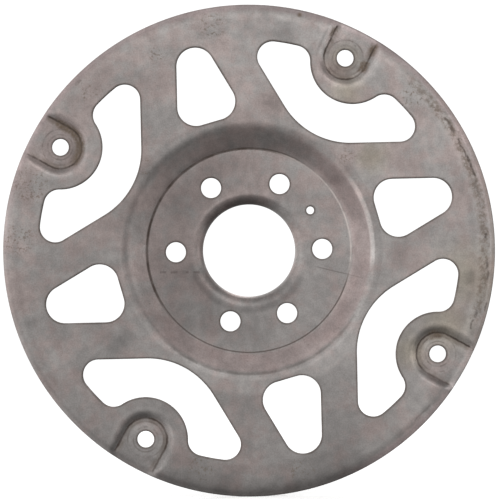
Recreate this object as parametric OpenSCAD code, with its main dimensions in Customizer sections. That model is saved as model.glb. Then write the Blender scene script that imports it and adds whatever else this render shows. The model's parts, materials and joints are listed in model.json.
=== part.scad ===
// Flexplate: the pressed-steel disc that joins an engine's crankshaft to a torque converter.
// One sheet is drawn into a dished hub, a flat web with eight windows, four sunk converter
// pads and a rim that turns back.  It stands on edge: the shaft axis is Y, the engine side
// faces -Y, +Z is up, and the origin is on the shaft axis at the hub's engine-side face.

/* [Sheet] */
// Thickness of the steel sheet
sheet_t = 2.7; // [2:0.1:3]
// Outside diameter of the plate
outer_d = 290.4; // [288:0.2:294]

/* [Hub] */
// Diameter of the centre bore, which takes the crankshaft's register
bore_d = 54.8; // [48:0.2:58]
// Radius that the sheet is drawn round from the hub's face into the collar
collar_bend = 6.2; // [4:0.1:7]
// Distance from the hub's face to the collar's rear end
collar_depth = 9; // [8:0.5:14]
// Diameter of the crease round the hub's flat floor
hub_d = 120.8; // [116:0.2:122]
// Depth of the hub's floor below the web
hub_depth = 9; // [6:0.5:11]
// Diameter at which the dish's wall would meet the web without its rounding
shoulder_d = 147.6; // [146:0.2:149]
// Radius of the shoulder between the dish and the web
shoulder_bend = 9.2; // [5:0.1:9.4]

/* [Rim] */
// Angle that the rim turns back from the web, in degrees
rim_angle = 35; // [20:1:38]
// Radius of the rim's bend
rim_bend = 15; // [10:0.5:15]
// Diameter at which the rim's bend begins
rim_start_d = 273.2; // [271:0.2:276]

/* [Crankshaft holes] */
// Diameter of the circle of crankshaft bolt holes
crank_pcd = 86.8; // [84:0.2:90]
// Diameter of each crankshaft bolt hole
crank_hole_d = 11.9; // [10:0.1:13]
// Angle of the second crankshaft hole, which stands 4 degrees out of step, in degrees
crank_second_angle = 64.1; // [60:0.1:68]
// Angle of the fifth crankshaft hole, which stands 14 degrees out of step, in degrees
crank_fifth_angle = 253.9; // [248:0.1:256]
// Diameter of the small index hole between the first two crankshaft holes
index_hole_d = 4.6; // [3:0.1:6]

/* [Converter pads] */
// Diameter of the circle of converter bolt holes
converter_pcd = 254; // [253:0.2:255]
// Diameter of each converter bolt hole
converter_hole_d = 9.9; // [8:0.1:11]
// How far the second converter hole is out of step with the other three, in degrees
converter_offset = 2.15; // [0:0.05:2.5]
// Depth of a pad's floor below the web
pad_depth = 3; // [2:0.1:3.2]
// Half the width of a pad's flat floor
pad_floor_r = 12.3; // [11:0.1:13]
// Slope of a pad's wall, in degrees
pad_wall_angle = 40; // [35:1:45]
// Radius of the shoulder round a pad
pad_shoulder_bend = 5; // [3.5:0.1:5]
// Radius of the crease round a flat floor, in the dish and in the pads
crease_bend = 0.8; // [0.5:0.1:1]

/* [Windows] */
// Radius from the shaft axis at which the windows begin
window_start_r = 78.8; // [78:0.1:80]
// Radius from the shaft axis at which the windows end
window_end_r = 124.2; // [123:0.1:125]
// Corner radius of a three-cornered window
corner_window_r = 11.1; // [9:0.1:12]
// Radius of a curved window's inner edge
curved_window_inner_r = 45.3; // [44:0.1:46]
// Corner radius of a curved window
curved_window_r = 9.1; // [7:0.1:10]
// Radius of the round lug of sheet that each curved window leaves round its pad
lug_r = 25; // [24:0.1:26]

/* [Hidden] */
$fn = 180;
// Furthest that a straight facet of an outline strays from its true arc
facet_error = 0.02;
// Length that a cutting shape reaches past the metal
spare = 2;
outer_r = outer_d / 2;
rim_start_r = rim_start_d / 2;
converter_r = converter_pcd / 2;
// The holes stand on a regular circle apart from those that let the plate go on one way only
crank_angles = [0, crank_second_angle, 120, 180, crank_fifth_angle, 300];
index_angle = crank_second_angle / 2;
converter_angles = [60 + converter_offset, 150, 240, 330];
// The windows repeat every quarter turn, and the spokes between them have parallel sides
corner_window_angles = [15:90:285];
curved_window_angles = [60:90:330];
corner_window_slope = 15;
curved_window_slope = 60;

// Points, directions and arcs in a plane
function unit(v) = v / norm(v);
function polar(r, a) = [r * cos(a), r * sin(a)];
function angle_of(v) = atan2(v.y, v.x);
function turned(v, a) = polar(norm(v), angle_of(v) + a);
function turn_between(u, w) = atan2(u.x * w.y - u.y * w.x, u * w);
function last_of(points) = points[len(points) - 1];
function without_last(points) = [for (i = [0:len(points) - 2]) points[i]];
function reversed(points) = [for (i = [len(points) - 1:-1:0]) points[i]];
function arc_steps(r, sweep) = max(2, ceil(abs(sweep) / (2 * acos(1 - facet_error / r))));
function arc(c, r, a0, a1) =
    let (n = arc_steps(r, a1 - a0))
    [for (k = [0:n]) c + polar(r, a0 + (a1 - a0) * k / n)];

// A bent line: its sharp corners, and the radius of the bend at each inner corner
function heading(corners, i) = unit(corners[i + 1] - corners[i]);
function bend(p, u, w, r) =
    let (
        a = turn_between(u, w),
        to_centre = turned(u, 90 * sign(a)),
        c = p - u * r * tan(abs(a) / 2) + to_centre * r,
        start = angle_of(-to_centre)
    )
    arc(c, r, start, start + a);
function bent_line(corners, radii) = [
    corners[0],
    for (i = [1:len(corners) - 2])
        each bend(corners[i], heading(corners, i - 1), heading(corners, i), radii[i - 1]),
    last_of(corners)
];

// The same bent line moved by t to its right, which gives another depth in the sheet
function moved_corner(corners, i, t) =
    let (
        u = turned(heading(corners, max(i - 1, 0)), -90),
        w = turned(heading(corners, min(i, len(corners) - 2)), -90)
    )
    corners[i] + (u + w) * t / (1 + u * w);
function moved_radius(corners, radii, i, t) =
    radii[i - 1] + t * sign(turn_between(heading(corners, i - 1), heading(corners, i)));
function moved_line(corners, radii, t) = bent_line(
    [for (i = [0:len(corners) - 1]) moved_corner(corners, i, t)],
    [for (i = [1:len(corners) - 2]) moved_radius(corners, radii, i, t)]
);

// Front face of the plate from the bore outwards, as [radius, height above the hub's face]
rim_corner = [rim_start_r + rim_bend * tan(rim_angle / 2), hub_depth];
plate_corners = [
    [bore_d / 2, -collar_depth],
    [bore_d / 2, 0],
    [hub_d / 2, 0],
    [shoulder_d / 2, hub_depth],
    rim_corner,
    rim_corner + polar(outer_r - rim_start_r, -rim_angle)
];
plate_radii = [collar_bend, crease_bend, shoulder_bend, rim_bend];

// Front face of a pad from its middle outwards, as [distance, height above the hub's face]
pad_floor_z = hub_depth - pad_depth;
pad_wall_foot = pad_floor_r + crease_bend * tan(pad_wall_angle / 2);
pad_wall_top = pad_wall_foot + pad_depth / tan(pad_wall_angle);
pad_corners = [
    [0, pad_floor_z],
    [pad_wall_foot, pad_floor_z],
    [pad_wall_top, hub_depth],
    [pad_wall_top + pad_shoulder_bend, hub_depth]
];
pad_radii = [crease_bend, pad_shoulder_bend];

// Half a section through a pad, closed along its middle and at height top
function closed_at(face, top) = concat(face, [[last_of(face).x, top], [0, top]]);
// The hollow that the pad's tool presses into the front
pad_hollow = closed_at(without_last(bent_line(pad_corners, pad_radii)), hub_depth + spare);
// The bulge that it pushes out behind
pad_bulge = closed_at(without_last(moved_line(pad_corners, pad_radii, sheet_t)), hub_depth);

// Turns half a section round the hub side of a pad and runs it out to the rim on both sides
module pad_shape(half_section) {
    other_half = [for (p = reversed(half_section)) if (p.x > 0) [-p.x, p.y]];
    rotate([0, 0, 90])
        rotate_extrude(angle = 180)
            polygon(half_section);
    rotate([90, 0, 90])
        linear_extrude(height = outer_r - converter_r + spare)
            polygon(concat(half_section, other_half));
}

module at_each_pad() {
    for (a = converter_angles)
        rotate([0, 0, a])
            translate([converter_r, 0, 0])
                children();
}

// All that lies behind the middle of the sheet, so that no bulge shows at the front
module behind_sheet_middle() {
    middle = moved_line(plate_corners, plate_radii, sheet_t / 2);
    web_and_rim = [for (p = middle) if (p.x > window_start_r) p];
    rotate_extrude()
        polygon(concat(
            [[window_start_r, 0], [window_start_r, web_and_rim[0].y]],
            web_and_rim,
            [[last_of(web_and_rim).x, 0]]
        ));
}

// The sheet turned about the shaft axis, from the collar to past the rim
module turned_sheet() {
    front = bent_line(plate_corners, plate_radii);
    rear = moved_line(plate_corners, plate_radii, sheet_t);
    rotate_extrude()
        polygon(concat(front, reversed(rear)));
}

// The disc with its pads, before it is pierced, trimmed round its edge
module pressed_disc() {
    intersection() {
        union() {
            turned_sheet();
            intersection() {
                at_each_pad() pad_shape(pad_bulge);
                behind_sheet_middle();
            }
        }
        cylinder(d = outer_d, h = 4 * (hub_depth + collar_depth), center = true);
    }
}

// Upper half of an outline that is the same on both sides of X, closed by its lower half
function both_sides(upper) =
    concat(upper, [for (p = reversed(upper)) if (abs(p.y) > facet_error) [p.x, -p.y]]);

// Round-cornered triangle with its point outwards, its centre line along X
function corner_window() =
    let (
        r = corner_window_r,
        slope = corner_window_slope,
        tip = [window_end_r - r, 0],
        inner_x = window_start_r + r,
        inner = [inner_x, (tip.x - inner_x) * tan(slope)]
    )
    both_sides(concat(arc(tip, r, 0, 90 - slope), arc(inner, r, 90 - slope, 180)));

// Window that bends round a pad's lug, its centre line along X.  Each arc's centre is on the
// upper half: the inner edge, the corner by the spoke, the rim, the corner by the lug, the lug.
function curved_window() =
    let (
        r = curved_window_r,
        slope = curved_window_slope,
        inner = [window_start_r + curved_window_inner_r, 0],
        side_distance = inner.x * sin(slope) - curved_window_inner_r,
        corner_r = window_end_r - r,
        spoke_angle = slope - asin((side_distance + r) / corner_r),
        by_spoke = polar(corner_r, spoke_angle),
        lug = [converter_r, 0],
        lug_gap = lug_r + r,
        lug_angle = acos((corner_r ^ 2 + lug.x ^ 2 - lug_gap ^ 2) / (2 * corner_r * lug.x)),
        by_lug = polar(corner_r, lug_angle)
    )
    both_sides(concat(
        arc(inner, curved_window_inner_r, 180, 90 + slope),
        arc(by_spoke, r, 90 + slope, spoke_angle),
        arc([0, 0], window_end_r, spoke_angle, lug_angle),
        arc(by_lug, r, lug_angle, angle_of(lug - by_lug)),
        arc(lug, lug_r, angle_of(by_lug - lug), 180)
    ));

module cut_windows(outline, angles) {
    for (a = angles)
        rotate([0, 0, a])
            linear_extrude(height = hub_depth + spare)
                polygon(outline);
}

module cut_holes(d, circle_r, angles) {
    for (a = angles)
        rotate([0, 0, a])
            translate([circle_r, 0, 0])
                cylinder(d = d, h = 2 * (hub_depth + spare), center = true);
}

module flexplate() {
    color([0.60, 0.58, 0.56])
        rotate([90, 0, 0])
            difference() {
                pressed_disc();
                at_each_pad() pad_shape(pad_hollow);
                cut_windows(corner_window(), corner_window_angles);
                cut_windows(curved_window(), curved_window_angles);
                cut_holes(crank_hole_d, crank_pcd / 2, crank_angles);
                cut_holes(index_hole_d, crank_pcd / 2, [index_angle]);
                cut_holes(converter_hole_d, converter_r, converter_angles);
            }
}

flexplate();
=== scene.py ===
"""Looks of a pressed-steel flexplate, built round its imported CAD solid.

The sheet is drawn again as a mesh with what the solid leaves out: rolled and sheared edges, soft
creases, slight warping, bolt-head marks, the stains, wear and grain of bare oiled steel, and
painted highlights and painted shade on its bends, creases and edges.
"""

import json
import math

import bmesh
import bpy
import numpy as np
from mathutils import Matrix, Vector, geometry, kdtree


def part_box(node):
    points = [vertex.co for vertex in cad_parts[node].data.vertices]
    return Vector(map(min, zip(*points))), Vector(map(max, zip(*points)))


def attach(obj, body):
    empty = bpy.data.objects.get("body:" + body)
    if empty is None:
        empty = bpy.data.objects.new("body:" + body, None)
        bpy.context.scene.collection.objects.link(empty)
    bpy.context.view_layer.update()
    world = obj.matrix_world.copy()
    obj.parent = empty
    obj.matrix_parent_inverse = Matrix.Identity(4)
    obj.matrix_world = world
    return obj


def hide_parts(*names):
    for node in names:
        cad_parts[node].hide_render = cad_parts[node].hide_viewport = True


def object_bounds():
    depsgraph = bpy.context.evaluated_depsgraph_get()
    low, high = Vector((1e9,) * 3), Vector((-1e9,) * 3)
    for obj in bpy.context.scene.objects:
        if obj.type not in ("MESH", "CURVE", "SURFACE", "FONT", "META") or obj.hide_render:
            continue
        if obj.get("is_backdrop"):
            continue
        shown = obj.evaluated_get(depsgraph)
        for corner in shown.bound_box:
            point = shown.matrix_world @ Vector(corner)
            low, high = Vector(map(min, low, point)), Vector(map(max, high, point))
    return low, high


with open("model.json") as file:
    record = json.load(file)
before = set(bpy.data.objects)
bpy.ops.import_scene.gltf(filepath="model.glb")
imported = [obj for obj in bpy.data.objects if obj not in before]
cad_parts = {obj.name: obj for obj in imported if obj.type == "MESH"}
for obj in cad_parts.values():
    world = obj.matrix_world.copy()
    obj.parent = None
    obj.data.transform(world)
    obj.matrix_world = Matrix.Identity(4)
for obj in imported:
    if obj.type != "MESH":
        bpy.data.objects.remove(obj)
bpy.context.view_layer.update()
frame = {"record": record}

MM = 0.001
NODE = "flexplate"
MOUNTS = {m["name"]: m for m in frame["record"]["mounts"]}
LOW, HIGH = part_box(NODE)

# The plate lies in X and Z, and height is measured from the hub's front face towards -Y.
# Unless a comment says otherwise, lengths are in mm and angles in degrees.

# Section of the plate: the collar of the bore, the hub, the dish wall, the web and the rim
OUTER_R = (HIGH.x - LOW.x) / 2 / MM
WEB_H = -LOW.y / MM
COLLAR_DEPTH = HIGH.y / MM
SHEET_T = MOUNTS["crank_bolt_second"]["dims"]["length_mm"]
BORE_R = MOUNTS["crank_register"]["dims"]["r_mm"]
COLLAR_BEND = 6.2
BEND_R = BORE_R + COLLAR_BEND
COLLAR_ARC = COLLAR_BEND * math.pi / 2
FLAT_BORE_R = BEND_R - COLLAR_ARC - (COLLAR_DEPTH - COLLAR_BEND)
HUB_R = 60.4
SHOULDER_R = 73.8
CREASE_BEND = 0.8
SHOULDER_BEND = 9.2
RIM_START_R = 136.6
RIM_ANGLE = math.radians(35)
RIM_BEND = 15.0
RIM_RUN = 20.0

# Section of a pad, out from the middle of its floor, and how it fades at the rim
PAD_DEPTH = 3.0
PAD_FOOT = 12.59
PAD_TOP = 16.17
PAD_BEND = 5.0
PAD_FADE = (140.6, 143.6)
PAD_SOFT = (9.5, 19.5)
PAD_REACH = 60.0

# What bolt heads, handling and the press have left on the front face
BOLT_HEAD_R = 10.6
BOLT_HEAD_DEPTH = 0.05
BOLT_GROOVE_DEPTH = 0.03
BOLT_GROOVE_WIDTH = 0.45
SLOW_WARP = 0.05
QUICK_WARP = 0.025
DENT_R = 142.4
DENT_ANGLE = 76.6
DENT_SIZE = 1.1
DENT_DEPTH = 0.5

# Windows between two radii, four with three corners and four curved round the pads' lugs, and
# the index hole
WINDOW_START_R = 78.8
WINDOW_END_R = 124.2
CORNER_WINDOW_R = 11.1
CORNER_WINDOW_SLOPE = 15.0
CORNER_WINDOW_ANGLE = 15
CURVED_INNER_R = 45.3
CURVED_WINDOW_R = 9.1
CURVED_WINDOW_ANGLE = 60
CURVED_SLOPE = 60.0
LUG_R = 25.0
INDEX_R = 2.3

# Rings that follow every edge: how far in they lie, how the front and rear corners roll over,
# where they lie on the wall as shares of it, and how far apart their points are
EDGE_STEPS = (0.0, 0.06, 0.2, 0.45, 1.0)
FRONT_ROLL = 0.45
REAR_ROLL = 0.2
WALL_STEPS = (0.12, 0.5, 0.88)
EDGE_SPACING = 1.0

# Points that fill the flat metal: their spacing, the share of it that they keep from others,
# and how clear the lines of a pad stay of bolt-head rings and every point stays of the edges
FLAT_SPACING = 2.3
FILL_SHARE = 0.55
MARK_CLEARANCE = 0.8
EDGE_CLEARANCE = 0.45

# Faces that meet at more than this angle, in radians, are shaded with a sharp edge
SHARP_EDGE = math.radians(50)


def polar(r, degrees):
    a = np.radians(degrees)
    return np.stack([r * np.cos(a), r * np.sin(a)], axis=-1)


def turned(points, degrees):
    a = math.radians(degrees)
    return points @ np.array([[math.cos(a), math.sin(a)], [-math.sin(a), math.cos(a)]])


def smooth_step(x, start, end):
    t = np.clip((x - start) / (end - start), 0, 1)
    return t * t * (3 - 2 * t)


def rounded_line(corners, radii, steps=24):
    """A bent line with each inner corner rounded, as the two arrays that np.interp takes."""
    corners = [np.array(c, float) for c in corners]
    points = [corners[0]]
    for before, corner, after, r in zip(corners, corners[1:], corners[2:], radii):
        u = (corner - before) / np.linalg.norm(corner - before)
        w = (after - corner) / np.linalg.norm(after - corner)
        turn = math.atan2(u[0] * w[1] - u[1] * w[0], u @ w)
        start = corner - u * r * math.tan(abs(turn) / 2)
        centre = start + np.array([-u[1], u[0]]) * r * math.copysign(1, turn)
        for k in range(steps + 1):
            points.append(centre + turned(start - centre, math.degrees(turn) * k / steps))
    points.append(corners[-1])
    return np.array(points).T


RIM_CORNER = RIM_START_R + RIM_BEND * math.tan(RIM_ANGLE / 2)
PLATE_LINE = rounded_line(
    [
        (0, 0),
        (HUB_R, 0),
        (SHOULDER_R, WEB_H),
        (RIM_CORNER, WEB_H),
        (RIM_CORNER + RIM_RUN * math.cos(RIM_ANGLE), WEB_H - RIM_RUN * math.sin(RIM_ANGLE)),
    ],
    [CREASE_BEND, SHOULDER_BEND, RIM_BEND],
)
PAD_LINE = rounded_line(
    [(0, PAD_DEPTH), (PAD_FOOT, PAD_DEPTH), (PAD_TOP, 0), (PAD_REACH, 0)],
    [CREASE_BEND, PAD_BEND],
)


# ---------------------------------------------------------------- holes and windows
def mount_point(name):
    x, _, z = MOUNTS[name]["pos_m"]
    return np.array([x, z]) / MM


def crank_holes():
    level = MOUNTS["crank_bolts_level"]["dims"]
    reach = level["spacing_x_mm"] / 2
    names = ["crank_bolt_" + n for n in ("second", "third", "fifth", "sixth")]
    centres = [np.array([reach, 0.0]), np.array([-reach, 0.0])] + [mount_point(n) for n in names]
    return centres, level["hole_r_mm"]


def converter_holes():
    names = ["converter_bolt_" + n for n in ("offset", "left", "lower", "right")]
    return [mount_point(n) for n in names], MOUNTS[names[0]]["dims"]["r_mm"]


CRANK_CENTRES, CRANK_R = crank_holes()
CONVERTER_CENTRES, CONVERTER_R = converter_holes()


def index_centre():
    """The index hole lies midway between the first two crankshaft holes."""
    x, z = mount_point("crank_bolt_second")
    return polar(math.hypot(x, z), math.degrees(math.atan2(z, x)) / 2)


def arc(centre, r, start, end, outward=1):
    """Points and normals along an arc; outward is -1 where the metal lies on the centre's side."""
    n = max(3, math.ceil(abs(math.radians(end - start)) * r / EDGE_SPACING))
    angles = np.linspace(start, end, n + 1)
    return np.array(centre) + polar(r, angles), outward * polar(1.0, angles)


def straight(p, q, normal):
    n = max(2, math.ceil(np.linalg.norm(q - p) / EDGE_SPACING))
    t = np.linspace(0, 1, n + 1)[1:-1, None]
    return p + (q - p) * t, np.repeat([normal], n - 1, axis=0)


def joined(pieces):
    """One half of an outline from its arcs, with a straight run wherever two do not meet."""
    points, normals = [pieces[0][0]], [pieces[0][1]]
    for (p, m), (q, k) in zip(pieces, pieces[1:]):
        if np.linalg.norm(q[0] - p[-1]) > 0.02:
            run = straight(p[-1], q[0], m[-1])
            points.append(run[0])
            normals.append(run[1])
            points.append(q)
            normals.append(k)
        else:
            points.append(q[1:])
            normals.append(k[1:])
    return np.concatenate(points), np.concatenate(normals)


def mirrored(half):
    points, normals = half
    flip = np.array([1, -1])
    inner = slice(-2, 0, -1)
    return (
        np.concatenate([points, points[inner] * flip]),
        np.concatenate([normals, normals[inner] * flip]),
    )


def corner_window():
    """Outline of a three-cornered window that lies on the X axis."""
    r, slope = CORNER_WINDOW_R, CORNER_WINDOW_SLOPE
    tip = np.array([WINDOW_END_R - r, 0])
    inner_x = WINDOW_START_R + r
    inner = np.array([inner_x, (tip[0] - inner_x) * math.tan(math.radians(slope))])
    return mirrored(joined([arc(tip, r, 0, 90 - slope), arc(inner, r, 90 - slope, 180)]))


def curved_window():
    """Outline of a curved window on the X axis, which a pad's lug reaches into from the rim."""
    r, slope = CURVED_WINDOW_R, math.radians(CURVED_SLOPE)
    inner = np.array([WINDOW_START_R + CURVED_INNER_R, 0])
    side = inner[0] * math.sin(slope) - CURVED_INNER_R
    corner_r = WINDOW_END_R - r
    spoke_angle = CURVED_SLOPE - math.degrees(math.asin((side + r) / corner_r))
    by_spoke = polar(corner_r, spoke_angle)
    lug = np.array([np.linalg.norm(CONVERTER_CENTRES[1]), 0])
    gap = LUG_R + r
    lug_angle = math.degrees(
        math.acos((corner_r**2 + lug[0] ** 2 - gap**2) / (2 * corner_r * lug[0]))
    )
    by_lug = polar(corner_r, lug_angle)
    to_lug = math.degrees(math.atan2(*(lug - by_lug)[::-1]))
    from_lug = math.degrees(math.atan2(*(by_lug - lug)[::-1]))
    return mirrored(
        joined(
            [
                arc(inner, CURVED_INNER_R, 180, 90 + CURVED_SLOPE),
                arc(by_spoke, r, 90 + CURVED_SLOPE, spoke_angle),
                arc((0, 0), WINDOW_END_R, spoke_angle, lug_angle),
                arc(by_lug, r, lug_angle, to_lug),
                arc(lug, LUG_R, from_lug, 180, -1),
            ]
        )
    )


def round_loop(centre, r, outward=1, spacing=EDGE_SPACING):
    n = max(24, math.ceil(2 * math.pi * r / spacing))
    angles = np.linspace(0, 360, n, endpoint=False)
    return np.array(centre) + polar(r, angles), outward * polar(1.0, angles)


def all_loops():
    """Every edge of the flat pattern, as points and unit normals that point into the metal."""
    loops = [round_loop((0, 0), OUTER_R, -1), round_loop((0, 0), FLAT_BORE_R, 1, 0.7)]
    loops += [round_loop(c, CRANK_R, 1, 0.8) for c in CRANK_CENTRES]
    loops += [round_loop(c, CONVERTER_R, 1, 0.8) for c in CONVERTER_CENTRES]
    loops.append(round_loop(index_centre(), INDEX_R, 1, 0.5))
    windows = ((corner_window(), CORNER_WINDOW_ANGLE), (curved_window(), CURVED_WINDOW_ANGLE))
    for (points, inward), first in windows:
        for quarter in range(4):
            angle = first + 90 * quarter
            loops.append((turned(points, angle), turned(inward, angle)))
    return loops


# ---------------------------------------------------------------- shape of the sheet
def pad_distance(q):
    """Distance from the nearest pad's middle line, which runs from its hole out to the rim."""
    best = np.full(len(q), 1e3)
    for c in CONVERTER_CENTRES:
        along = c / np.linalg.norm(c)
        d = q - c
        u = d @ along
        v = d @ np.array([-along[1], along[0]])
        best = np.minimum(best, np.hypot(np.minimum(u, 0), v))
    return best


def centre_distance(q, centres):
    return np.min([np.hypot(*(q - c).T) for c in centres], axis=0)


def dent(q):
    """A small dent in the rim, near the first pad."""
    away = q - polar(DENT_R, DENT_ANGLE)
    return DENT_DEPTH * np.exp(-np.sum(away**2, axis=1) / DENT_SIZE**2)


def warping(q):
    """Slight waves that pressing and heat leave in the sheet."""
    x, z = q[:, 0], q[:, 1]
    slow = SLOW_WARP * np.sin(x / 17 + 1.3) * np.sin(z / 21 + 0.4)
    return slow + QUICK_WARP * np.sin(x / 7.3 + z / 9.1)


def height(q):
    """Front face above the hub's face, over the flat pattern."""
    rho = np.hypot(*q.T)
    plate = WEB_H - np.interp(rho, *PLATE_LINE)
    d = pad_distance(q)
    pad = np.interp(d, *PAD_LINE)
    soft = PAD_DEPTH * (1 - smooth_step(d, *PAD_SOFT))
    pad = np.clip(pad + (soft - pad) * smooth_step(rho, *PAD_FADE), 0, None)
    both = np.where(rho > SHOULDER_R, np.cbrt(np.abs(plate) ** 3 + pad**3), plate)
    h = WEB_H - both
    ring = centre_distance(q, CONVERTER_CENTRES)
    h -= BOLT_HEAD_DEPTH * (1 - smooth_step(ring, BOLT_HEAD_R - 0.5, BOLT_HEAD_R + 0.1))
    h -= BOLT_GROOVE_DEPTH * np.exp(-(((ring - BOLT_HEAD_R) / BOLT_GROOVE_WIDTH) ** 2))
    h += warping(q) * smooth_step(rho, BEND_R + 1, BEND_R + 12)
    return h - dent(q)


def surface(q):
    """Front face of the sheet over the flat pattern, as x, z and height in mm."""
    rho = np.hypot(*q.T)
    run = np.clip(BEND_R - rho, 0, None)
    turn = np.minimum(run / COLLAR_BEND, math.pi / 2)
    in_collar = run > 0
    r = np.where(in_collar, BEND_R - COLLAR_BEND * np.sin(turn), rho)
    collar_h = -COLLAR_BEND * (1 - np.cos(turn)) - np.clip(run - COLLAR_ARC, 0, None)
    h = np.where(in_collar, collar_h, height(q))
    return np.column_stack([q * (r / rho)[:, None], h])


def normals(q, step=0.02):
    """Unit normals of the front face, from its slope over a short step."""
    across = surface(q + [step, 0]) - surface(q - [step, 0])
    up = surface(q + [0, step]) - surface(q - [0, step])
    n = np.cross(across, up)
    return n / np.linalg.norm(n, axis=1)[:, None]


def rolled(distance, radius):
    """How far a rolled corner falls behind the face at this distance from the edge."""
    x = np.clip(radius - distance, 0, None)
    return radius - math.sqrt(radius**2 - x**2)


def at_depth(q, depth, square=False):
    """The sheet at a depth behind its front face, in metres.

    A square edge stays at its own radius through the sheet, as a turned rim does.
    """
    n = normals(q)
    if square:
        outward = q / np.hypot(*q.T)[:, None]
        q = q + outward * np.einsum("ij,ij->i", n[:, :2], outward)[:, None] * depth
        n = normals(q)
    p = surface(q) - n * depth
    return np.column_stack([p[:, 0], -p[:, 2], p[:, 1]]) * MM


# ---------------------------------------------------------------- points of the mesh
def ring_points(r, spacing):
    n = math.ceil(2 * math.pi * r / spacing)
    return polar(r, np.linspace(0, 360, n, endpoint=False))


def plate_rings():
    """Rings along the plate's bends, close together where it bends sharply.

    Each ring is a radius and the spacing of its points.
    """
    rings = [(r, 1.5) for r in np.arange(FLAT_BORE_R + 1.9, BEND_R + 1.2, 0.75)]
    rings += [(HUB_R + d, 1.0) for d in (-1.0, -0.5, -0.26, -0.1, 0.06, 0.22, 0.45, 1.0)]
    rings += [(r, 1.6) for r in np.arange(HUB_R + 2.2, SHOULDER_R - 3.4, 1.5)]
    rings += [(r, 1.6) for r in np.arange(SHOULDER_R - 3.1, SHOULDER_R + 4, 0.65)]
    rim = [(r, 1.6) for r in np.arange(RIM_START_R - 0.8, OUTER_R - 1.3, 0.8)]
    points = np.concatenate([ring_points(*r) for r in rings])
    rim_points = np.concatenate([ring_points(*r) for r in rim])
    clear = pad_distance(rim_points) > PAD_SOFT[1] + 1
    return np.concatenate([points, rim_points[clear]])


def pad_lines():
    """Lines that run round the hub side of each pad and out to the rim along its sides.

    Each line keeps one distance from the pad's middle line.
    """
    wall = [11.9, 12.25, 12.42, 12.59, 12.76, 12.95, 13.4, 13.9]
    shoulder = [14.4, 14.9, 15.5, 16.1, 16.7, 17.3, 18.0, 19.0, 20.2]
    floor = [1.0, 2.6, 4.2, 5.8, 7.4, 8.8, 9.9, 10.3, 10.6, 10.9, 11.4]
    lines = []
    for c in CONVERTER_CENTRES:
        reach = OUTER_R - np.linalg.norm(c)
        legs = np.arange(0.6, reach + 0.5, 1.1)
        for d in floor + wall + shoulder:
            half_turn = np.linspace(90, 270, max(5, math.ceil(math.pi * d / 1.0)))
            local = [polar(d, half_turn)]
            local += [np.column_stack([legs, np.full(len(legs), s * d)]) for s in (1, -1)]
            lines.append(turned(np.concatenate(local), math.degrees(math.atan2(c[1], c[0]))) + c)
    return np.concatenate(lines)


def hole_rings():
    """A few rings round each bolt-head mark and each crankshaft hole."""
    rings = []
    for c in CONVERTER_CENTRES:
        rings += [ring_points(r, 1.0) + c for r in (7.2, 8.6, 9.7, 10.2, 10.45, 10.7, 11.0)]
    for c in CRANK_CENTRES:
        rings += [ring_points(r, 1.5) + c for r in (8.2, 9.9)]
    return np.concatenate(rings)


def fill_points():
    """A staggered grid over the whole plate."""
    rows = np.arange(-OUTER_R, OUTER_R, FLAT_SPACING * math.sqrt(3) / 2)
    columns = np.arange(-OUTER_R, OUTER_R, FLAT_SPACING)
    x, z = np.meshgrid(columns, rows)
    x = x + (np.arange(len(rows)) % 2)[:, None] * FLAT_SPACING / 2
    points = np.column_stack([x.ravel(), z.ravel()])
    return points[np.hypot(*points.T) < OUTER_R - 2]


def tree_of(points):
    tree = kdtree.KDTree(len(points))
    for i, (x, y) in enumerate(points):
        tree.insert((x, y, 0), i)
    tree.balance()
    return tree


def edge_distance(points, loops):
    """Signed distance into the metal from the nearest edge."""
    edge = np.concatenate([p for p, _ in loops])
    inward = np.concatenate([m for _, m in loops])
    tree = tree_of(edge)
    found = np.array([tree.find((x, y, 0))[1] for x, y in points])
    return np.einsum("ij,ij->i", points - edge[found], inward[found])


def far_from(points, others, gap):
    """Those points that have none of the others within the gap."""
    tree = tree_of(others)
    return points[[tree.find((x, y, 0))[2] > gap for x, y in points]]


def inner_points(loops):
    """All points inside the last edge ring, with none crowding another."""
    marks = hole_rings()
    lines = pad_lines()
    lines = lines[centre_distance(lines, CONVERTER_CENTRES) > BOLT_HEAD_R + MARK_CLEARANCE]
    features = np.concatenate([marks, lines, plate_rings()])
    fill = far_from(fill_points(), features, FLAT_SPACING * FILL_SHARE)
    points = np.concatenate([features, fill])
    return points[edge_distance(points, loops) > EDGE_STEPS[-1] + EDGE_CLEARANCE]


def inside(points, polygon):
    """Which points lie inside a polygon, by counting the sides that each looks across."""
    x, y = points.T
    x0, y0 = polygon.T
    x1, y1 = np.roll(polygon, -1, axis=0).T
    crosses = (y0 > y[:, None]) != (y1 > y[:, None])
    with np.errstate(divide="ignore", invalid="ignore"):
        at = x0 + (y[:, None] - y0) * (x1 - x0) / (y1 - y0)
    return np.sum(crosses & (x[:, None] < at), axis=1) % 2 == 1


def triangulated(rings, points):
    """Triangles over the metal between the last edge rings; the rings' points come first."""
    flat = np.concatenate(rings + [points])
    edges, first = [], 0
    for ring in rings:
        n = len(ring)
        edges += [(first + k, first + (k + 1) % n) for k in range(n)]
        first += n
    result = geometry.delaunay_2d_cdt([tuple(p) for p in flat], edges, [], 0, 1e-6, True)
    out = np.array([tuple(v) for v in result[0]])
    sources = result[3]
    place = {source: i for i, found in enumerate(sources) for source in found}
    triangles = np.array([f for f in result[2] if len(f) == 3])
    middle = out[triangles].mean(axis=1)
    in_metal = inside(middle, rings[0])
    for ring in rings[1:]:
        near = np.hypot(*(middle - ring.mean(axis=0)).T) < np.ptp(ring, axis=0).max()
        in_metal[near] &= ~inside(middle[near], ring)
    ring_ids = [place[k] for k in range(first)]
    return out, triangles[in_metal], ring_ids


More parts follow.
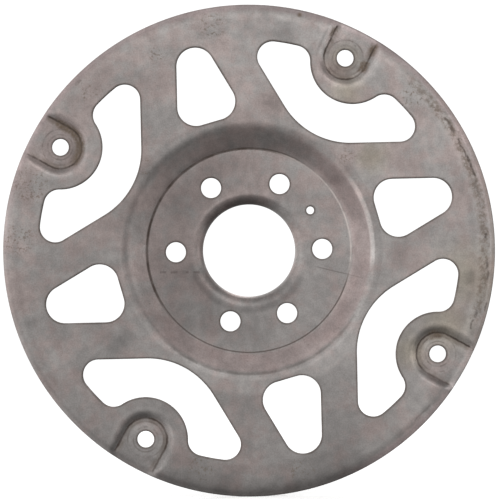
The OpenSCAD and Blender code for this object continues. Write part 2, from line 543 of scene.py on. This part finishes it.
class SheetMesh:
    """Collects the sheet's vertices and faces, and each vertex's flat place and edge distance."""

    def __init__(self):
        self.points, self.faces, self.edge, self.flat, self.count = [], [], [], [], 0

    def add(self, q, depth, edge, square=False):
        self.points.append(at_depth(q, depth, square))
        self.flat.append(q)
        self.edge.append(np.broadcast_to(edge, len(q)))
        ids = np.arange(self.count, self.count + len(q))
        self.count += len(q)
        return ids

    def strip(self, a, b):
        """Joins two rings of equally many points with a band of quads."""
        self.faces += np.column_stack([a, np.roll(a, -1), np.roll(b, -1), b]).tolist()


def sheet_mesh():
    """Both faces of the sheet, joined at every edge by its rolled corners and sheared wall."""
    loops = all_loops()
    rings = [[p + m * e for p, m in loops] for e in EDGE_STEPS]
    out, triangles, ring_ids = triangulated(rings[-1], inner_points(loops))
    mesh = SheetMesh()
    distance = np.clip(edge_distance(out, loops), 0, None)
    front = mesh.add(out, 0.0, distance)
    rear = mesh.add(out, SHEET_T, distance)
    mesh.faces += front[triangles].tolist() + rear[triangles[:, ::-1]].tolist()
    first = 0
    for k, (edge, _) in enumerate(loops):
        last = np.array(ring_ids[first : first + len(edge)])
        first += len(edge)
        before = front[last]
        square = k == 0
        for i in range(len(EDGE_STEPS) - 2, -1, -1):
            e = EDGE_STEPS[i]
            now = mesh.add(rings[i][k], rolled(e, FRONT_ROLL), e, square)
            mesh.strip(before, now)
            before = now
        for share in WALL_STEPS:
            depth = FRONT_ROLL + share * (SHEET_T - FRONT_ROLL - REAR_ROLL)
            now = mesh.add(edge, depth, 0.0, square)
            mesh.strip(before, now)
            before = now
        for i in range(len(EDGE_STEPS) - 1):
            e = EDGE_STEPS[i]
            now = mesh.add(rings[i][k], SHEET_T - rolled(e, REAR_ROLL), e, square)
            mesh.strip(before, now)
            before = now
        mesh.strip(before, rear[last])
    return mesh


def float_attribute(data, name, values):
    data.attributes.new(name, "FLOAT", "POINT").data.foreach_set(
        "value", np.ascontiguousarray(values, np.float32)
    )


def sheet_object():
    mesh = sheet_mesh()
    data = bpy.data.meshes.new("flexplate_sheet")
    data.from_pydata(np.concatenate(mesh.points).tolist(), [], mesh.faces)
    flat = np.concatenate(mesh.flat)
    float_attribute(data, "edge_mm", np.concatenate(mesh.edge))
    float_attribute(data, "pad_mm", pad_distance(flat))
    float_attribute(data, "bolt_mm", centre_distance(flat, CONVERTER_CENTRES))
    bm = bmesh.new()
    bm.from_mesh(data)
    bmesh.ops.recalc_face_normals(bm, faces=bm.faces)
    bm.to_mesh(data)
    bm.free()
    data.shade_smooth()
    data.set_sharp_from_angle(angle=SHARP_EDGE)
    obj = bpy.data.objects.new("flexplate_sheet", data)
    bpy.context.scene.collection.objects.link(obj)
    return obj


# ---------------------------------------------------------------- materials
# Linear colours of the steel, of what lies on it and of its marks, and of painted shade and a
# painted glint
COLOURS = {
    "warm_steel": (0.368, 0.311, 0.297, 1),
    "cool_steel": (0.338, 0.318, 0.308, 1),
    "reddish_wall": (0.385, 0.303, 0.292, 1),
    "reddish_rim": (0.378, 0.308, 0.306, 1),
    "tan_film": (0.338, 0.300, 0.246, 1),
    "soil": (0.215, 0.165, 0.148, 1),
    "rust": (0.175, 0.130, 0.095, 1),
    # The next colour is a brown stain with painted shade on the pads' floors by their creases
    "pad_stain_and_shade": (0.165, 0.125, 0.095, 1),
    "bolt_mark": (0.13, 0.105, 0.095, 1),
    "hairline": (0.50, 0.47, 0.44, 1),
    "scratch": (0.10, 0.08, 0.075, 1),
    "pit": (0.15, 0.115, 0.10, 1),
    # The next colour is painted shade, a dark line along the rolled edges of windows and holes
    "outline": (0.115, 0.092, 0.08, 1),
    # The next colour darkens the creases of the hub and the pads: grime with painted shade
    "grime_and_shade": (0.070, 0.050, 0.040, 1),
    "crack": (0.075, 0.056, 0.045, 1),
    # The next colour is a painted highlight, the glint along the hub's crease
    "painted_glint": (0.74, 0.66, 0.62, 1),
}

# Clouds, blotches and grain in the steel's tone: size, detail, roughness, darkest and lightest
TONE_NOISES = (
    (19, 3, 0.55, 0.915, 1.085),
    (5.0, 5, 0.6, 0.935, 1.065),
    (0.9, 3, 0.6, 0.92, 1.07),
)
# Whole rings of painted highlight on the dish's shoulder and the rim's edge: radius, reach and
# factor
HIGHLIGHT_RINGS = ((73.0, 5.5, 1.06), (145.0, 2.6, 1.12))
# Painted highlights and painted shade by place: radius, reach, angle, half and soft width in
# degrees, factor
LIGHT_AND_SHADE_PATCHES = (
    (29, 8, 180, 55, 45, 1.30),
    (33, 6, 262, 48, 35, 0.74),
    (30.5, 4, 102, 30, 30, 0.66),
    (30.5, 3, 265, 25, 30, 0.90),
    (48, 16, 112, 30, 35, 0.86),
    (67, 7, 48, 14, 26, 0.80),
    (67, 7, 135, 12, 26, 1.25),
    (73.2, 3.2, 246, 60, 30, 0.82),
    (67, 7, 0, 30, 35, 0.85),
    (76, 6.0, 135, 20, 30, 0.84),
    (72.8, 2.0, 13, 13, 14, 1.42),
    (76.5, 3.0, 10, 25, 30, 0.88),
    (80, 7, 285, 40, 25, 1.16),
    (142, 11, 6, 20, 24, 1.30),
    (142, 9, -52, 10, 8, 1.28),
    (144.5, 5, -43, 11, 13, 1.46),
    (144.5, 4, 36, 8, 13, 1.24),
    (131, 7, -47, 9, 9, 1.14),
    (131, 8, 182, 24, 24, 1.12),
    (144, 4, 225, 25, 30, 0.84),
    (140, 8, 270, 16, 30, 0.88),
    (132, 9, 272, 20, 25, 0.89),
    (90, 60, 0, 25, 55, 1.10),
    (46, 18, 222, 25, 50, 0.88),
)
# Painted highlight and painted shade on the pads' walls: radius, angle, size and factor
PAD_WALL_LIGHT_AND_SHADE = (
    (135, 68.4, 15, 1.55),
    (121, 69.0, 12, 1.35),
    (112.5, 63, 13, 1.45),
    (120, 55.5, 10, 1.25),
    (112.5, 326, 12, 1.24),
    (136, 323.2, 16, 0.66),
    (113, 245, 8, 1.15),
    (129, 157.5, 17, 0.82),
)
# Floors of the pads where bolt heads sat: angle and factor
BOLT_SEATS = ((62, 0.84), (150, 0.90), (240, 1.18), (330, 1.12))

# The tables of soft spots below give the radius, angle and size of each.
# Stains of old oil
STAINS = (
    (88.5, -4, 13),
    (90, 80, 12),
    (78, 142, 12),
    (91, 38, 10),
    (92, 214, 13),
    (136, 263, 12),
    (128, 79, 12),
    (131, 352, 8),
    (134, 197, 9),
)
# Tan films of old grease and flash rust
TAN_FILMS = (
    (110.5, 57, 15),
    (91, 36, 15),
    (127, -8, 30),
    (124, -22, 26),
    (112, -33, 18),
    (126, 62, 14),
)
# Soft brown soil on the floors of two pads
SOILED_FLOORS = ((115.5, 62, 14), (115.5, 148, 13))
# Brown rust along the pads' creases
CREASE_RUST = (
    (130, 143.6, 13),
    (121, 144.6, 13),
    (114.5, 148.6, 12),
    (127, 56.6, 6),
    (138.5, 68.0, 5),
    (139.5, 56.4, 5),
    (120, 334, 6),
)
# Patches of fine freckles of rust
FRECKLED = (
    (134, 162, 18),
    (136, 176, 16),
    (80, 141, 10),
    (98, 158, 10),
    (127, 114, 8),
    (133, 134, 8),
    (80, 42, 9),
    (131, 256, 14),
    (133, 282, 12),
    (134, 42, 13),
    (134, 98, 14),
    (96, 196, 9),
)
# The stain in the dent of the rim
DENT_STAIN = (142.2, DENT_ANGLE, 2.2)

# Cracked scale along the bend of the rim: radius, middle angle, half length in degrees, strength
RIM_CRACKS = (
    (139.5, 30.7, 1.9, 0.6),
    (139.6, 24.5, 2.2, 0.75),
    (140.3, 19.6, 2.4, 0.9),
    (139.2, 14.0, 2.0, 0.3),
    (139.5, 2.3, 0.25, 0.9),
    (140.4, -4.6, 0.9, 0.6),
    (141.2, -7.2, 0.8, 0.5),
    (143.2, -14.7, 0.7, 0.6),
    (138.4, -16.9, 0.7, 0.7),
    (138.2, -19.6, 0.9, 0.7),
    (140.2, -44.2, 2.6, 0.4),
    (141.4, -40.0, 1.2, 0.3),
    (141.0, 134.2, 0.6, 0.5),
)

# The ring that a washer left round each converter hole, inside the bolt head's ring
WASHER_R = 7.4

# A radial scratch: its angle, and between which radii it starts, grows fainter and ends
SCRATCH_ANGLE = -14.8
SCRATCH_START = (38, 42)
SCRATCH_FAINTER = (57, 64)
SCRATCH_END = (71, 66)

# A dashed scribe line from left to right: its height and slope, between which places on x it
# starts and ends, and how fast its dashes follow each other, in radians per mm
SCRIBE_Z = -12.84
SCRIBE_SLOPE = 0.0226
SCRIBE_START = (-56, -54)
SCRIBE_END = (-27.5, -29.5)
SCRIBE_RATE = 0.95

# Hairline scratches: angle, stretch, and the noise level from which one shows
HAIRLINES = ((20, 60, 0.68), (-50, 45, 0.70))

# Bumps of fine grain and orange peel: size, detail and depth
BUMPS = ((0.45, 2, 0.012), (3.2, 3, 0.035))
# Depth of the pits and cracks
PIT_DEPTH = 0.06


class Graph:
    """Short ways to add nodes to a material or world."""

    def __init__(self, tree):
        self.tree = tree
        tree.nodes.clear()

    def add(self, kind, values=(), **settings):
        node = self.tree.nodes.new(kind)
        for key, value in settings.items():
            setattr(node, key, value)
        for key, value in dict(values).items():
            if isinstance(value, bpy.types.NodeSocket):
                self.tree.links.new(value, node.inputs[key])
            else:
                node.inputs[key].default_value = value
        return node

    def math(self, operation, a, b=0.0):
        return self.add("ShaderNodeMath", {0: a, 1: b}, operation=operation).outputs[0]

    def step(self, value, start, end, low=0.0, high=1.0):
        """Low up to start and high from end on, with a smooth change between them."""
        values = {"Value": value, "From Min": start, "From Max": end, "To Min": low, "To Max": high}
        node = self.add("ShaderNodeMapRange", values, interpolation_type="SMOOTHSTEP")
        return node.outputs["Result"]

    def noise(self, where, size, detail, roughness=0.55):
        """Noise from 0 to 1 with features of a size in mm."""
        values = {
            "Vector": where,
            "Scale": 1 / (size * MM),
            "Detail": detail,
            "Roughness": roughness,
        }
        return self.add("ShaderNodeTexNoise", values).outputs["Fac"]

    def mix(self, share, a, b, blend="MIX"):
        values = {"Factor": share, 6: a, 7: b}
        node = self.add("ShaderNodeMix", values, data_type="RGBA", blend_type=blend)
        return node.outputs[2]

    def attribute(self, name):
        return self.add("ShaderNodeAttribute", attribute_name=name).outputs["Fac"]


class SheetMasks:
    """Where on the plate something is, as masks from 0 to 1."""

    def __init__(self, g):
        self.g = g
        self.where = g.add("ShaderNodeTexCoord").outputs["Object"]
        scaled = g.add("ShaderNodeVectorMath", {0: self.where, 3: 1 / MM}, operation="SCALE")
        xyz = g.add("ShaderNodeSeparateXYZ", {0: scaled.outputs[0]}).outputs
        self.x, self.z = xyz["X"], xyz["Z"]
        self.radius = g.math("SQRT", self.dot(self.x, self.z, self.x, self.z))
        self.pad = g.attribute("pad_mm")
        self.bolt = g.attribute("bolt_mm")
        self.edge = g.attribute("edge_mm")
        self.mottle = g.noise(self.where, 11, 4, 0.6)
        self.waver = self.wobble(g.noise(self.where, 2.2, 3, 0.6), 1.1)

    def dot(self, a, b, c, d):
        g = self.g
        return g.math("ADD", g.math("MULTIPLY", a, c), g.math("MULTIPLY", b, d))

    def towards(self, angle):
        """How far from the shaft a point lies in the direction of an angle."""
        a = math.radians(angle)
        return self.dot(self.x, self.z, math.cos(a), math.sin(a))

    def patchy(self, low, high, start=0.3, end=0.6):
        """A strength that changes between low and high from patch to patch."""
        return self.g.step(self.mottle, start, end, low, high)

    def wobble(self, noise, width):
        """A noise as a shift to either side, which spans a width in mm."""
        return self.g.math("MULTIPLY", self.g.math("SUBTRACT", noise, 0.5), width)

    def near(self, value, centre, reach, core=0.3):
        """1 where value is at centre and within a core share of reach, falling to 0 at reach."""
        off = self.g.math("ABSOLUTE", self.g.math("SUBTRACT", value, centre))
        return self.g.step(off, reach, reach * core)

    def sector(self, angle, half, soft):
        """1 within half of an angle seen from the shaft, falling to 0 over soft more."""
        cosine = self.g.math("DIVIDE", self.towards(angle), self.radius)
        ends = [math.cos(math.radians(min(t, 180))) for t in (half + soft, half)]
        return self.g.step(cosine, *ends)

    def spot(self, r, angle, size, ragged=0.0):
        """A soft spot, with a ragged outline if it is given a wobble."""
        x, z = polar(r, angle).tolist()
        dx, dz = self.g.math("SUBTRACT", self.x, x), self.g.math("SUBTRACT", self.z, z)
        distance = self.g.math("ADD", self.g.math("SQRT", self.dot(dx, dz, dx, dz)), ragged)
        return self.g.step(distance, size, 0.0)

    def spots(self, places, ragged=0.0):
        return self.any_of(*[self.spot(*place, ragged) for place in places])

    def faded(self, mask, strength):
        return self.g.math("MULTIPLY", mask, strength)

    def all_of(self, *masks):
        result = masks[0]
        for m in masks[1:]:
            result = self.g.math("MULTIPLY", result, m)
        return result

    def any_of(self, *masks):
        result = masks[0]
        for m in masks[1:]:
            result = self.g.math("MAXIMUM", result, m)
        return result


def steel_tone_and_shade(g, m):
    """How much lighter or darker the steel is than its average, from place to place, with painted
    highlights and painted shade on its bends, pad walls, rim and bore lip.
    """
    ragged = m.wobble(m.mottle, 14.0)
    layers = []
    for size, detail, roughness, dark, light in TONE_NOISES:
        layers.append((g.step(g.noise(m.where, size, detail, roughness), 0.3, 0.7), dark, light))
    # Painted highlights on the shoulder and the rim's edge
    for radius, reach, factor in HIGHLIGHT_RINGS:
        layers.append((m.near(m.radius, radius, reach), 1.0, factor))
    # Painted highlights and painted shade on the bore's lip, the dish, the web and the rim
    for radius, reach, angle, half, soft, factor in LIGHT_AND_SHADE_PATCHES:
        patch = m.all_of(m.near(m.radius, radius, reach), m.sector(angle, half, soft))
        layers.append((patch, 1.0, factor))
    dark_hub = m.all_of(g.step(m.radius, HUB_R + 0.6, HUB_R - 0.4), m.sector(172, 30, 65))
    layers.append((dark_hub, 1.0, 0.80))
    # Painted highlight along the pads' shoulders
    pad_shoulder_highlight = m.all_of(m.near(m.pad, 17.5, 3.2), g.step(m.radius, 143, 139))
    layers.append((pad_shoulder_highlight, 1.0, 1.08))
    # Painted highlight and painted shade on the pads' walls
    pad_wall = m.near(m.pad, 14.6, 2.9, 0.45)
    for r, angle, size, factor in PAD_WALL_LIGHT_AND_SHADE:
        wall_light_and_shade = m.spot(r, angle, size, m.faded(ragged, 0.3))
        layers.append((m.all_of(pad_wall, wall_light_and_shade), 1.0, factor))
    seat = g.step(m.bolt, 13.0, 9.0)
    for angle, factor in BOLT_SEATS:
        layers.append((m.all_of(seat, m.sector(angle, 8, 3)), 1.0, factor))
    layers.append((m.spots(STAINS, ragged), 1.0, 0.80))
    tone = 1.0
    for mask, low, high in layers:
        tone = g.math("MULTIPLY", g.step(mask, 0, 1, low, high), tone)
    return tone


def bare_steel(g, m):
    """Steel from warm to cool grey, redder on the dish wall and the rim, with its films."""
    brown_hub = m.all_of(m.sector(150, 50, 50), g.step(m.radius, 72, 58, 0.1, 1.0))
    lean = g.math("SUBTRACT", brown_hub, m.sector(290, 50, 50))
    shade = g.math("ADD", g.noise(m.where, 15, 6, 0.62), m.faded(lean, 0.06))
    wall_side = g.step(m.sector(-45, 82, 30), 0, 1, 0.08, 0.6)
    wall = m.all_of(m.near(m.radius, 66.5, 6.5, 0.6), wall_side)
    red_sides = m.any_of(m.sector(95, 45, 60), m.sector(-50, 4, 16))
    rim = m.all_of(g.step(m.radius, 140.5, 143), g.step(red_sides, 0, 1, 0.1, 0.6))
    film_and_shade = m.spots(TAN_FILMS, m.wobble(m.mottle, 12.0))
    pad_floor = g.step(m.pad, 13.4, 12.2)
    soil = m.all_of(m.spots(SOILED_FLOORS), pad_floor, m.patchy(0.35, 0.6))
    colour = g.mix(g.step(shade, 0.38, 0.62), COLOURS["cool_steel"], COLOURS["warm_steel"])
    colour = g.mix(wall, colour, COLOURS["reddish_wall"])
    colour = g.mix(rim, colour, COLOURS["reddish_rim"])
    colour = g.mix(m.faded(film_and_shade, 0.75), colour, COLOURS["tan_film"])
    return g.mix(soil, colour, COLOURS["soil"])


def pad_crease_grime_and_shade(g, m):
    """A dark line in the creases of the pads, grime with painted shade, and a brown stain with
    painted shade beside it.
    """
    inboard = g.step(m.radius, 143.5, 141.5)
    pad = g.math("ADD", m.pad, m.waver)
    # Dark crease line: grime with painted shade
    line = m.all_of(m.near(pad, 12.65, 0.85, 0.25), inboard, m.patchy(0.35, 0.9, end=0.62))
    # A brown stain with painted shade on the floor by the crease
    film_and_shade = m.all_of(m.near(pad, 11.6, 2.6, 0.1), inboard, m.patchy(0.12, 0.5, 0.36, 0.62))
    return line, film_and_shade


def hub_crease_shade_and_glint(g, m):
    """Grime and painted shade in the hub's crease, a dark line below its shoulder, and a painted
    glint.
    """
    hub_r = g.math("ADD", m.radius, m.faded(m.waver, 0.25))
    bright_side = m.sector(30, 22, 34)
    # A dark line all round the crease, except under the glint: grime with painted shade
    thin = m.all_of(m.near(hub_r, HUB_R - 0.05, 0.62, 0.3), g.step(bright_side, 0, 1, 0.72, 0.0))
    # Painted shadow: a wider dark line in the crease on the upper left
    thick = m.all_of(
        m.near(hub_r, HUB_R + 0.1, 1.1, 0.3),
        m.sector(138, 62, 30),
        m.patchy(0.5, 0.95),
    )
    # A faint dark line below the shoulder at the bottom
    low_line = m.all_of(
        m.near(hub_r, SHOULDER_R - 1.0, 1.3, 0.1),
        m.sector(276, 40, 18),
        m.patchy(0.14, 0.34),
    )
    # Painted highlight: a glint along the crease on its right side, broken up by noise
    glint_breakup = g.step(g.noise(m.where, 3.5, 3), 0.3, 0.6, 0.45, 1.0)
    crease_glint = m.all_of(m.near(hub_r, HUB_R - 0.2, 0.62, 0.35), bright_side, glint_breakup)
    return m.any_of(thin, thick, low_line), crease_glint


def wandering_radius(g, m):
    """The radius, with the slow wobble that the scale along the rim follows."""
    return g.math("ADD", m.radius, m.wobble(g.noise(m.where, 7, 2, 0.4), 4.0))


def rim_cracks(g, m):
    """Cracked scale along the rim's bend."""
    r = wandering_radius(g, m)
    grainy = g.step(g.noise(m.where, 1.8, 3, 0.6), 0.34, 0.52, 0.3, 1.0)
    cracks = []
    for radius, angle, half, strength in RIM_CRACKS:
        place = m.all_of(m.near(r, radius, 1.05, 0.2), m.sector(angle, half, 0.6))
        cracks.append(m.faded(m.all_of(place, grainy), strength))
    return m.any_of(*cracks)


def brown_rust(g, m):
    """Rust beside the rim's scale and along the pads' creases, freckles, and the stained dent."""
    speckle = g.step(g.noise(m.where, 2.6, 4, 0.65), 0.40, 0.62, 0.25, 1.0)
    by_scale = m.near(wandering_radius(g, m), 138.8, 4.4, 0.25)
    band = m.all_of(by_scale, m.sector(13, 25, 12), speckle)
    outer = m.all_of(g.step(m.radius, 142.2, 143.6), m.sector(8, 26, 16))
    ragged = m.wobble(g.noise(m.where, 4, 4, 0.65), 9.0)
    fine = g.step(g.noise(m.where, 1.6, 4, 0.65), 0.34, 0.60, 0.45, 1.0)
    by_pads = g.step(m.spots(CREASE_RUST, ragged), 0.05, 0.6)
    in_crease = m.all_of(by_pads, m.near(m.pad, 11.8, 3.8, 0.35), fine)
    specks = g.step(g.noise(m.where, 1.7, 3, 0.65), 0.52, 0.66, 0.0, 0.6)
    freckles = m.all_of(g.step(m.spots(FRECKLED, ragged), 0.1, 0.7), specks)
    along_rim = m.any_of(m.faded(band, 0.68), m.faded(outer, 0.35))
    return m.any_of(along_rim, in_crease, freckles, m.spot(*DENT_STAIN))


def bolt_marks(g, m):
    """Rings that bolt heads and washers have left round the converter holes."""
    rings = m.any_of(m.near(m.bolt, BOLT_HEAD_R, 0.7, 0.1), m.near(m.bolt, WASHER_R, 0.8, 0.1))
    return m.all_of(rings, g.step(g.noise(m.where, 6, 3), 0.38, 0.64, 0.05, 0.5))


def scratches(g, m):
    """A radial scratch and a dashed scribe line on the hub, and hairlines all over."""
    scratch = m.all_of(
        m.near(m.towards(SCRATCH_ANGLE + 90), 0.0, 0.5),
        g.step(m.x, *SCRATCH_START),
        g.step(m.radius, *SCRATCH_END),
        g.step(m.radius, *SCRATCH_FAINTER, 1.0, 0.45),
    )
    scribe = m.all_of(
        m.near(m.dot(m.x, m.z, SCRIBE_SLOPE, 1.0), SCRIBE_Z, 1.0),
        g.step(m.x, *SCRIBE_START),
        g.step(m.x, *SCRIBE_END),
        g.step(g.math("SINE", g.math("MULTIPLY", m.x, SCRIBE_RATE)), -0.65, 0.1),
        g.step(g.noise(m.where, 3.4, 1), 0.36, 0.54, 0.4, 1.0),
    )
    hair = []
    for angle, stretch, level in HAIRLINES:
        settings = {
            "Vector": m.where,
            "Rotation": (0, math.radians(angle), 0),
            "Scale": (stretch, 1, 1),
        }
        stretched = g.add("ShaderNodeMapping", settings).outputs[0]
        hair.append(g.step(g.noise(stretched, 28, 2, 0.4), level, level + 0.03))
    return m.any_of(m.faded(scratch, 0.8), scribe), m.any_of(*hair)


def steel_bump(g, m, cracks):
    """Fine grain, orange peel, pits and cracks as one normal, and the mask of the pits."""
    normal = None
    for size, detail, depth in BUMPS:
        values = {"Height": g.noise(m.where, size, detail), "Strength": 1.0, "Distance": depth * MM}
        if normal is not None:
            values["Normal"] = normal
        normal = g.add("ShaderNodeBump", values).outputs[0]
    pits = g.step(g.noise(m.where, 1.5, 2, 0.6), 0.66, 0.74)
    values = {
        "Height": m.any_of(pits, cracks),
        "Strength": 1.0,
        "Distance": PIT_DEPTH * MM,
        "Normal": normal,
    }
    return g.add("ShaderNodeBump", values, invert=True).outputs[0], pits


def painted_shade_outline(g, m):
    """Painted shade: a dark line along the rolled edge round each window and hole, faint at the
    rim.
    """
    off_rim = g.step(m.radius, 143.0, 140.5, 0.1, 1.0)
    return m.all_of(g.step(m.edge, 1.5, 0.1), m.patchy(0.5, 0.95), off_rim)


def steel_material():
    """Bare oiled steel: its tone and colour, what lies on it, painted shade and a painted glint,
    and how dull that makes it.
    """
    material = bpy.data.materials.new("pressed_steel")
    material.use_nodes = True
    g = Graph(material.node_tree)
    m = SheetMasks(g)
    tone = steel_tone_and_shade(g, m)
    grey = g.add("ShaderNodeCombineXYZ", {0: tone, 1: tone, 2: tone}).outputs[0]
    colour = g.mix(1.0, bare_steel(g, m), grey, "MULTIPLY")
    pad_line, pad_stain_and_shade = pad_crease_grime_and_shade(g, m)
    hub_line, crease_glint = hub_crease_shade_and_glint(g, m)
    # Dark lines in the creases of the pads and the hub: grime with painted shade
    grime_and_shade = m.any_of(pad_line, hub_line)
    cracks, rust = rim_cracks(g, m), brown_rust(g, m)
    lines, hair = scratches(g, m)
    normal, pits = steel_bump(g, m, cracks)
    outline = painted_shade_outline(g, m)
    layers = (
        (rust, 1.0, "rust"),
        # Brown stain with painted shade on the pads' floors by their creases
        (pad_stain_and_shade, 1.0, "pad_stain_and_shade"),
        (bolt_marks(g, m), 1.0, "bolt_mark"),
        (hair, 0.12, "hairline"),
        (lines, 0.5, "scratch"),
        (pits, 0.3, "pit"),
        # Painted shade along the rolled edges of the windows and holes
        (outline, 0.95, "outline"),
        # Grime with painted shade in the creases
        (grime_and_shade, 1.0, "grime_and_shade"),
        (cracks, 0.85, "crack"),
        # Painted highlight: the glint along the hub's crease
        (crease_glint, 0.62, "painted_glint"),
    )
    for mask, strength, name in layers:
        colour = g.mix(m.faded(mask, strength), colour, COLOURS[name])
    dull = m.any_of(m.faded(rust, 0.8), pad_stain_and_shade, grime_and_shade, cracks, m.faded(outline, 0.6))
    rough = g.math("ADD", m.patchy(0.46, 0.56, end=0.7), m.faded(dull, 0.25))
    values = {
        "Base Color": colour,
        "Metallic": g.step(dull, 0, 1, 0.85, 0.35),
        "Roughness": g.math("SUBTRACT", rough, m.faded(crease_glint, 0.15)),
        "Normal": normal,
    }
    shader = g.add("ShaderNodeBsdfPrincipled", values)
    g.add("ShaderNodeOutputMaterial", {"Surface": shader.outputs[0]})
    return material


# ---------------------------------------------------------------- studio
WHITE = (1, 1, 1, 1)

# The floor in metres and its pale grey, and how bright it and the backdrop glow
FLOOR_REACH = 4.0
FLOOR_GREY = (0.85, 0.85, 0.85, 1)
FLOOR_GLOW = 0.47
BACKDROP_GLOW = 1.1

# Soft light from all round: how strong it is everywhere, and then the direction that more comes
# from, how narrow that is and its strength. It is alike in front of the plate and behind it.
ROOM_FILL = 0.08
ROOM_LIGHT = (
    ((-1, 0, 0), 2, 1.40),
    ((0, -0.707, 0.707), 4, 0.85),
    ((0.574, -0.819, 0), 6, 0.42),
    ((-0.574, -0.819, 0), 6, 0.52),
)

# Round soft lights aimed at the shaft: name, azimuth, elevation, distance in metres and power
# in watts. Azimuth 0 is in front of the plate, and 90 is to its right.
SOFT_LIGHTS = (
    ("key", 10, 25, 1.0, 1.5),
    ("right_fill", 70, 0, 0.7, 0.75),
    ("rear_key", 170, 35, 1.0, 1.5),
)
SOFT_LIGHT_SIZE = 0.35

# The camera faces the plate, turned a little about its own line of sight. The lens gives the
# plate's radius its share of the picture's width, at the widest line of the rim. In metres.
CAMERA_DISTANCE = 1.5
CAMERA_SHIFT = (0.00056, 0.00062)
CAMERA_ROLL = 1.3
SENSOR_WIDTH = 36.0
RADIUS_SHARE = 0.4922
RIM_LINE_Y = -0.0063
RIM_LINE_R = 0.1452


def floor_object(z):
    r = FLOOR_REACH
    data = bpy.data.meshes.new("floor")
    data.from_pydata([(-r, -r, z), (r, -r, z), (r, r, z), (-r, r, z)], [], [(0, 1, 2, 3)])
    obj = bpy.data.objects.new("floor", data)
    bpy.context.scene.collection.objects.link(obj)
    material = bpy.data.materials.new("pale_floor")
    material.use_nodes = True
    g = Graph(material.node_tree)
    diffuse = g.add("ShaderNodeBsdfDiffuse", {"Color": FLOOR_GREY})
    glow = g.add("ShaderNodeEmission", {"Color": WHITE, "Strength": FLOOR_GLOW})
    both = g.add("ShaderNodeAddShader", {0: diffuse.outputs[0], 1: glow.outputs[0]})
    g.add("ShaderNodeOutputMaterial", {"Surface": both.outputs[0]})
    data.materials.append(material)
    obj.visible_glossy = False
    obj.visible_diffuse = False
    obj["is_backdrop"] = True


def studio_world():
    """The room's light on the plate, and a plain white backdrop for the camera."""
    world = bpy.data.worlds.new("studio")
    bpy.context.scene.world = world
    world.use_nodes = True
    g = Graph(world.node_tree)
    direction = g.add("ShaderNodeTexCoord").outputs["Generated"]
    x, y, z = g.add("ShaderNodeSeparateXYZ", {0: direction}).outputs
    forward = g.math("MULTIPLY", g.math("ABSOLUTE", y), -1.0)
    folded = g.add("ShaderNodeCombineXYZ", {0: x, 1: forward, 2: z}).outputs[0]
    total = ROOM_FILL
    for towards, power, strength in ROOM_LIGHT:
        along = g.add("ShaderNodeVectorMath", {0: folded, 1: towards}, operation="DOT_PRODUCT")
        lobe = g.math("POWER", g.math("MAXIMUM", along.outputs["Value"], 0.0), power)
        total = g.math("ADD", g.math("MULTIPLY", lobe, strength), total)
    soft = g.add("ShaderNodeBackground", {"Color": WHITE, "Strength": total})
    backdrop = g.add("ShaderNodeBackground", {"Color": WHITE, "Strength": BACKDROP_GLOW})
    seen = g.add("ShaderNodeLightPath").outputs["Is Camera Ray"]
    both = g.add("ShaderNodeMixShader", {0: seen, 1: soft.outputs[0], 2: backdrop.outputs[0]})
    g.add("ShaderNodeOutputWorld", {"Surface": both.outputs[0]})


def soft_light(name, azimuth, elevation, distance, power):
    light = bpy.data.lights.new(name, "AREA")
    light.shape = "DISK"
    light.size = SOFT_LIGHT_SIZE
    light.energy = power
    obj = bpy.data.objects.new(name, light)
    bpy.context.scene.collection.objects.link(obj)
    a, e = math.radians(azimuth), math.radians(elevation)
    place = Vector((math.sin(a) * math.cos(e), -math.cos(a) * math.cos(e), math.sin(e)))
    obj.location = place * distance
    obj.rotation_euler = place.to_track_quat("Z", "Y").to_euler()


def studio_camera():
    camera = bpy.data.cameras.new("camera")
    camera.sensor_width = SENSOR_WIDTH
    camera.lens = SENSOR_WIDTH * RADIUS_SHARE * (CAMERA_DISTANCE + RIM_LINE_Y) / RIM_LINE_R
    obj = bpy.data.objects.new("camera", camera)
    bpy.context.scene.collection.objects.link(obj)
    obj.location = (CAMERA_SHIFT[0], -CAMERA_DISTANCE, CAMERA_SHIFT[1])
    obj.rotation_euler = (math.radians(90), math.radians(CAMERA_ROLL), 0)
    bpy.context.scene.camera = obj


def studio():
    bpy.context.scene.view_settings.view_transform = "Standard"
    studio_world()
    floor_object(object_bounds()[0].z)
    for light in SOFT_LIGHTS:
        soft_light(*light)
    studio_camera()


sheet = sheet_object()
sheet.data.materials.append(steel_material())
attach(sheet, "root")
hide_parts(NODE)
studio()
